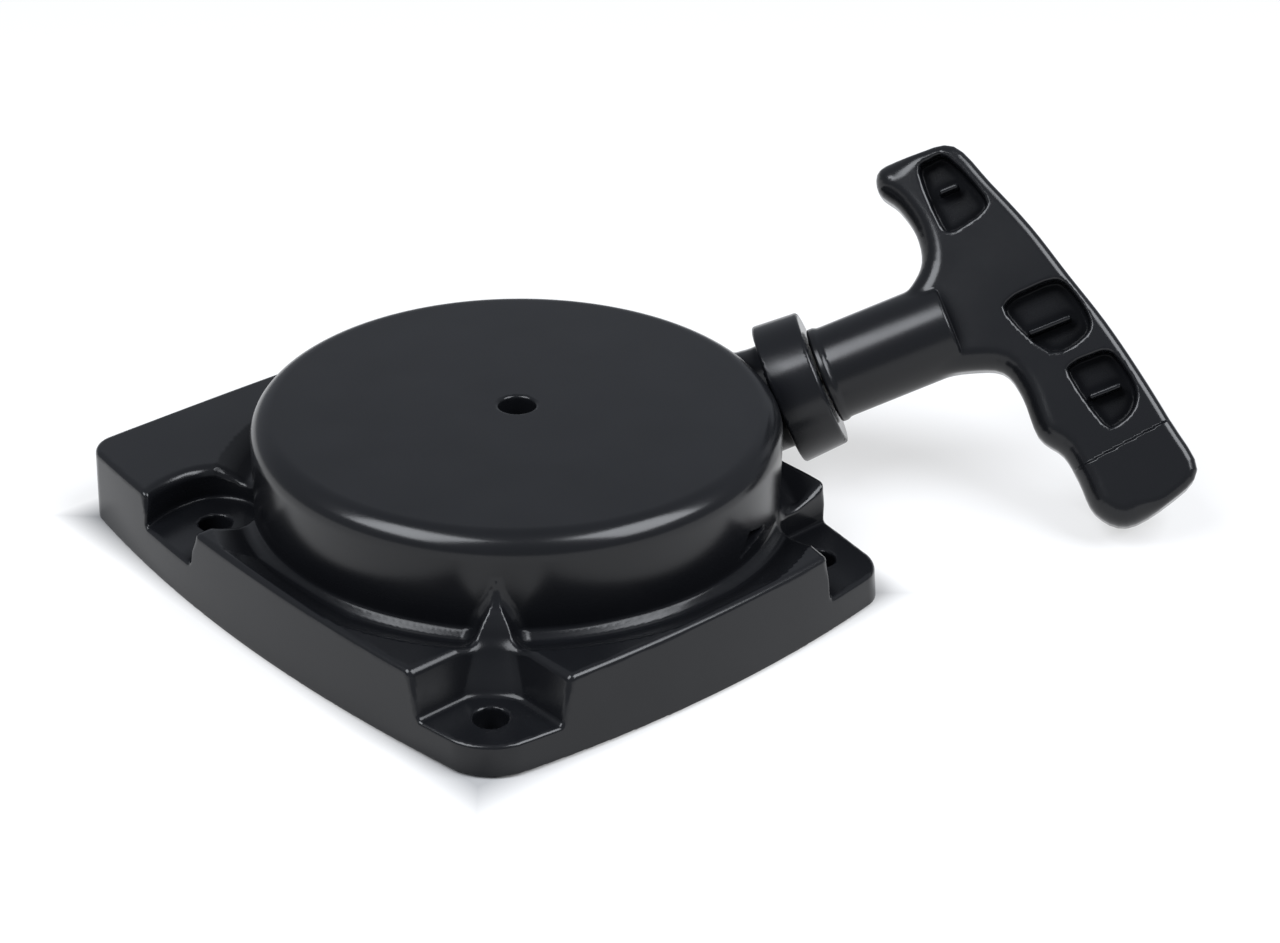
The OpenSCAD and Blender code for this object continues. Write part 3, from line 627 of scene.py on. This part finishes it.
# ---------------------------------------------------------------- camera, floor and light
CAMERA_AT = (-0.24338, -0.29306, 0.22724)
LOOK = Vector((0.58253, 0.64910, -0.48921))
RIGHT = Vector((0.74710, -0.66466, 0.00773))
UP = Vector((0.32014, 0.36999, 0.87213))
camera_data = bpy.data.cameras.new("camera")
camera_data.sensor_width = 36.0
camera_data.lens = 70.74
camera_data.shift_x = 0.0297
camera_data.shift_y = 0.0067
camera_data.clip_start = 0.01
camera_data.clip_end = 20.0
camera = bpy.data.objects.new("camera", camera_data)
bpy.context.scene.collection.objects.link(camera)
camera.matrix_world = Matrix.Translation(CAMERA_AT) @ Matrix((
    (RIGHT.x, UP.x, -LOOK.x), (RIGHT.y, UP.y, -LOOK.y), (RIGHT.z, UP.z, -LOOK.z))).to_4x4()
bpy.context.scene.camera = camera


def softbox(name, azimuth, elevation, distance=1.0, size=0.62, power=12.0, colour=(0.96, 0.99, 1.04)):
    """Square light that faces the object, seen from it at an azimuth and an elevation in degrees."""
    a, e = math.radians(azimuth), math.radians(elevation)
    at = Vector([distance * v for v in (math.cos(e) * math.cos(a), math.cos(e) * math.sin(a), math.sin(e))])
    data = bpy.data.lights.new(name, "AREA")
    data.shape = "RECTANGLE"
    data.size, data.size_y = size, size
    data.energy = power
    data.color = colour
    light = bpy.data.objects.new(name, data)
    bpy.context.scene.collection.objects.link(light)
    light.location = at
    light.rotation_euler = (Vector((0, 0, 0.01)) - at).to_track_quat("-Z", "Y").to_euler()


softbox("box_left", 172, 51)
softbox("box_right", -65, 50)

world = bpy.data.worlds.new("studio")
world.use_nodes = True
world.node_tree.nodes["Background"].inputs["Color"].default_value = (0.93, 0.98, 1.07, 1)
world.node_tree.nodes["Background"].inputs["Strength"].default_value = 0.35
bpy.context.scene.world = world
bpy.context.scene.view_settings.view_transform = "Standard"


def node(m, kind, **inputs):
    """Shader node with values on its sockets."""
    made = m.node_tree.nodes.new("ShaderNode" + kind)
    for key, value in inputs.items():
        made.inputs[key].default_value = value
    return made


def spread_to(m, source, low, high, in_low=0.0, in_high=1.0):
    """source mapped to the range low to high."""
    made = node(m, "MapRange")
    made.inputs["From Min"].default_value, made.inputs["From Max"].default_value = in_low, in_high
    made.inputs["To Min"].default_value, made.inputs["To Max"].default_value = low, high
    m.node_tree.links.new(source, made.inputs["Value"])
    return made.outputs["Result"]


def noise(m, scale, detail=4.0, stretch=None):
    """Noise in the object's own metres; scale is in features a metre."""
    where = m.node_tree.nodes.new("ShaderNodeTexCoord").outputs["Object"]
    if stretch:
        squeeze = m.node_tree.nodes.new("ShaderNodeMapping")
        squeeze.inputs["Scale"].default_value = stretch
        m.node_tree.links.new(where, squeeze.inputs["Vector"])
        where = squeeze.outputs["Vector"]
    made = node(m, "TexNoise", Scale=scale, Detail=detail)
    m.node_tree.links.new(where, made.inputs["Vector"])
    return made.outputs["Fac"]


def finish(name, colour, dark, roughness, metallic=0.0, patch=60.0, grain=3000.0, bump=0.00001,
           stretch=None):
    """Material whose colour and roughness drift in patches, with a fine grain."""
    m = bpy.data.materials.new(name)
    m.use_nodes = True
    links = m.node_tree.links
    b = m.node_tree.nodes["Principled BSDF"]
    b.inputs["Metallic"].default_value = metallic
    patches = noise(m, patch, 5.0, stretch)
    ramp = m.node_tree.nodes.new("ShaderNodeValToRGB")
    ramp.color_ramp.elements[0].position, ramp.color_ramp.elements[1].position = 0.35, 0.65
    ramp.color_ramp.elements[0].color, ramp.color_ramp.elements[1].color = (*dark, 1), (*colour, 1)
    links.new(patches, ramp.inputs["Fac"])
    links.new(ramp.outputs["Color"], b.inputs["Base Color"])
    links.new(spread_to(m, patches, roughness[1], roughness[0], 0.3, 0.7), b.inputs["Roughness"])
    height = m.node_tree.nodes.new("ShaderNodeBump")
    height.inputs["Strength"].default_value = 1.0
    height.inputs["Distance"].default_value = bump
    links.new(noise(m, grain, 2.0, stretch), height.inputs["Height"])
    links.new(height.outputs["Normal"], b.inputs["Normal"])
    return m


def black_nylon(name, roughness, patch):
    """Moulded black plastic: satin, a little worn on its ridges, with a painted shade that makes its hollows
    duller and darker.
    """
    m = finish(name, (0.005, 0.0053, 0.0063), (0.004, 0.0043, 0.0052), roughness,
               patch=patch, grain=4200.0, bump=0.000006)
    links, b = m.node_tree.links, m.node_tree.nodes["Principled BSDF"]
    b.inputs["IOR"].default_value = 1.38
    hollow, ridge = (m.node_tree.nodes.new("ShaderNodeAttribute") for _ in range(2))
    hollow.attribute_name, ridge.attribute_name = "hollow", "ridge"
    # painted shade: specular is lowered deep in hollows, so they read darker
    links.new(spread_to(m, hollow.outputs["Fac"], 0.5, 0.06, 0.1, 0.5), b.inputs["Specular IOR Level"])
    old_rough = b.inputs["Roughness"].links[0].from_socket
    old_colour = b.inputs["Base Color"].links[0].from_socket
    add = m.node_tree.nodes.new("ShaderNodeMath")
    add.operation = "ADD"
    links.new(old_rough, add.inputs[0])
    links.new(spread_to(m, ridge.outputs["Fac"], 0.0, 0.06, 0.35, 0.8), add.inputs[1])
    links.new(add.outputs[0], b.inputs["Roughness"])
    mix = m.node_tree.nodes.new("ShaderNodeMix")
    mix.data_type = "RGBA"
    links.new(old_colour, mix.inputs["A"])
    mix.inputs["B"].default_value = (0.02, 0.021, 0.023, 1)
    rub = m.node_tree.nodes.new("ShaderNodeMath")
    rub.operation = "MULTIPLY"
    links.new(spread_to(m, ridge.outputs["Fac"], 0.0, 1.0, 0.4, 0.9), rub.inputs[0])
    links.new(spread_to(m, noise(m, 900.0, 4.0), 0.0, 1.0, 0.45, 0.6), rub.inputs[1])
    links.new(rub.outputs[0], mix.inputs["Factor"])
    links.new(mix.outputs["Result"], b.inputs["Base Color"])
    return m


def paint(obj, material):
    """Gives all of an object's slots one material."""
    if len(obj.data.materials):
        for k in range(len(obj.data.materials)):
            obj.data.materials[k] = material
    else:
        obj.data.materials.append(material)


paint(case, black_nylon("case_plastic", (0.18, 0.23), 70.0))
paint(grip, black_nylon("grip_plastic", (0.19, 0.25), 90.0))
# two colours, then the roughness between them
zinc = finish("zinc_plated", (0.6, 0.61, 0.63), (0.42, 0.43, 0.44), (0.28, 0.42),
              metallic=1.0, patch=140.0, grain=2500.0)
sheet = finish("drawn_sheet", (0.55, 0.56, 0.58), (0.4, 0.41, 0.43), (0.26, 0.4),
               metallic=1.0, patch=120.0, bump=0.00002, stretch=(1.0, 1.0, 8.0))
bright = finish("bright_steel", (0.62, 0.62, 0.63), (0.5, 0.5, 0.51), (0.14, 0.24),
                metallic=1.0, patch=200.0, grain=6000.0)
# painted shade: the guide eyelet's steel is made dark to stand for the shade in the gap between the collar
# and the grip's stem
painted_shade_steel = finish("eyelet_steel_painted_shade", (0.2, 0.2, 0.2), (0.12, 0.12, 0.12), (0.3, 0.45),
                metallic=1.0, patch=260.0)
spring = finish("spring_steel", (0.3, 0.31, 0.34), (0.2, 0.21, 0.24), (0.24, 0.36),
                metallic=1.0, patch=180.0, grain=5000.0)
hard = finish("hard_steel", (0.33, 0.33, 0.34), (0.2, 0.19, 0.19), (0.3, 0.46),
              metallic=1.0, patch=160.0, grain=3500.0)
brass = finish("brass", (0.72, 0.55, 0.25), (0.5, 0.36, 0.15), (0.22, 0.36),
               metallic=1.0, patch=220.0)
bronze = finish("bronze", (0.52, 0.34, 0.18), (0.34, 0.22, 0.12), (0.36, 0.5),
                metallic=1.0, patch=300.0, grain=5200.0, bump=0.00003)
nylon = finish("natural_nylon", (0.62, 0.6, 0.54), (0.52, 0.49, 0.42), (0.36, 0.48),
               patch=80.0, grain=2600.0)
nylon.node_tree.nodes["Principled BSDF"].inputs["Subsurface Weight"].default_value = 0.1
nylon.node_tree.nodes["Principled BSDF"].inputs["Subsurface Scale"].default_value = 0.002
fibre = finish("rope_fibre", (0.75, 0.74, 0.7), (0.5, 0.48, 0.44), (0.75, 0.92),
               patch=1400.0, grain=9000.0, bump=0.00012)

LOOKS = {
    "guide_eyelet": painted_shade_steel, "threaded_insert": brass, "spring_case": sheet, "recoil_spring": spring,
    "ratchet_guide": zinc, "friction_spring": spring, "screw_washer": zinc, "centre_screw": zinc,
    "thrust_washer": zinc, "pulley": nylon, "pulley_bush": bronze, "wound_rope": fibre, "inner_knot": fibre,
    "pawl_pins": bright, "pawl_clips": spring, "pawl_springs": spring, "pawl_a": hard, "pawl_b": hard,
    "pull_rope": fibre, "rope_knot": fibre, "knot_washer": zinc,
}
for cad_name, look in LOOKS.items():
    paint(NODES[cad_name], look)
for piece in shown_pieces():
    for stood in piece.get("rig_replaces", []):
        if stood in LOOKS:
            paint(piece, LOOKS[stood])

# pale floor: a faint glow keeps its shadows light; the glow stops under the case, a painted shadow there
# that keeps its holes dark
REACH = 3.0 / MM
# nested rings: two opposite corners and the glow, from under the case outwards; the inner ring's zero glow
# is the painted shadow
RINGS = [((-50, -50), (35, 58), 0.0), ((-56, -57), (43, 64), 1.0), ((-REACH, -REACH), (REACH, REACH), 1.0)]
corners, glow, squares = [], [], []
for (x0, y0), (x1, y1), lit in RINGS:
    corners += [(x * MM, y * MM, 0) for x, y in ((x0, y0), (x1, y0), (x1, y1), (x0, y1))]
    glow += [lit] * 4
squares.append((0, 1, 2, 3))
for k in range(len(RINGS) - 1):
    for c in range(4):
        squares.append((4 * k + c, 4 * k + 4 + c, 4 * k + 4 + (c + 1) % 4, 4 * k + (c + 1) % 4))
floor_mesh = bpy.data.meshes.new("floor")
floor_mesh.from_pydata(corners, [], squares)
floor_mesh.attributes.new("glow", "FLOAT", "POINT").data.foreach_set("value", glow)
floor = bpy.data.objects.new("floor", floor_mesh)
bpy.context.scene.collection.objects.link(floor)
floor.location.z = -0.0002
pale = finish("pale_floor", (0.26, 0.26, 0.26), (0.25, 0.25, 0.25), (0.85, 0.95), patch=3.0, grain=400.0)
shine = pale.node_tree.nodes["Principled BSDF"]
shine.inputs["Emission Color"].default_value = (1, 1, 1, 1)
where_lit = pale.node_tree.nodes.new("ShaderNodeAttribute")
where_lit.attribute_name = "glow"
emission = spread_to(pale, where_lit.outputs["Fac"], 0.0, 0.6)
pale.node_tree.links.new(emission, shine.inputs["Emission Strength"])
floor_mesh.materials.append(pale)
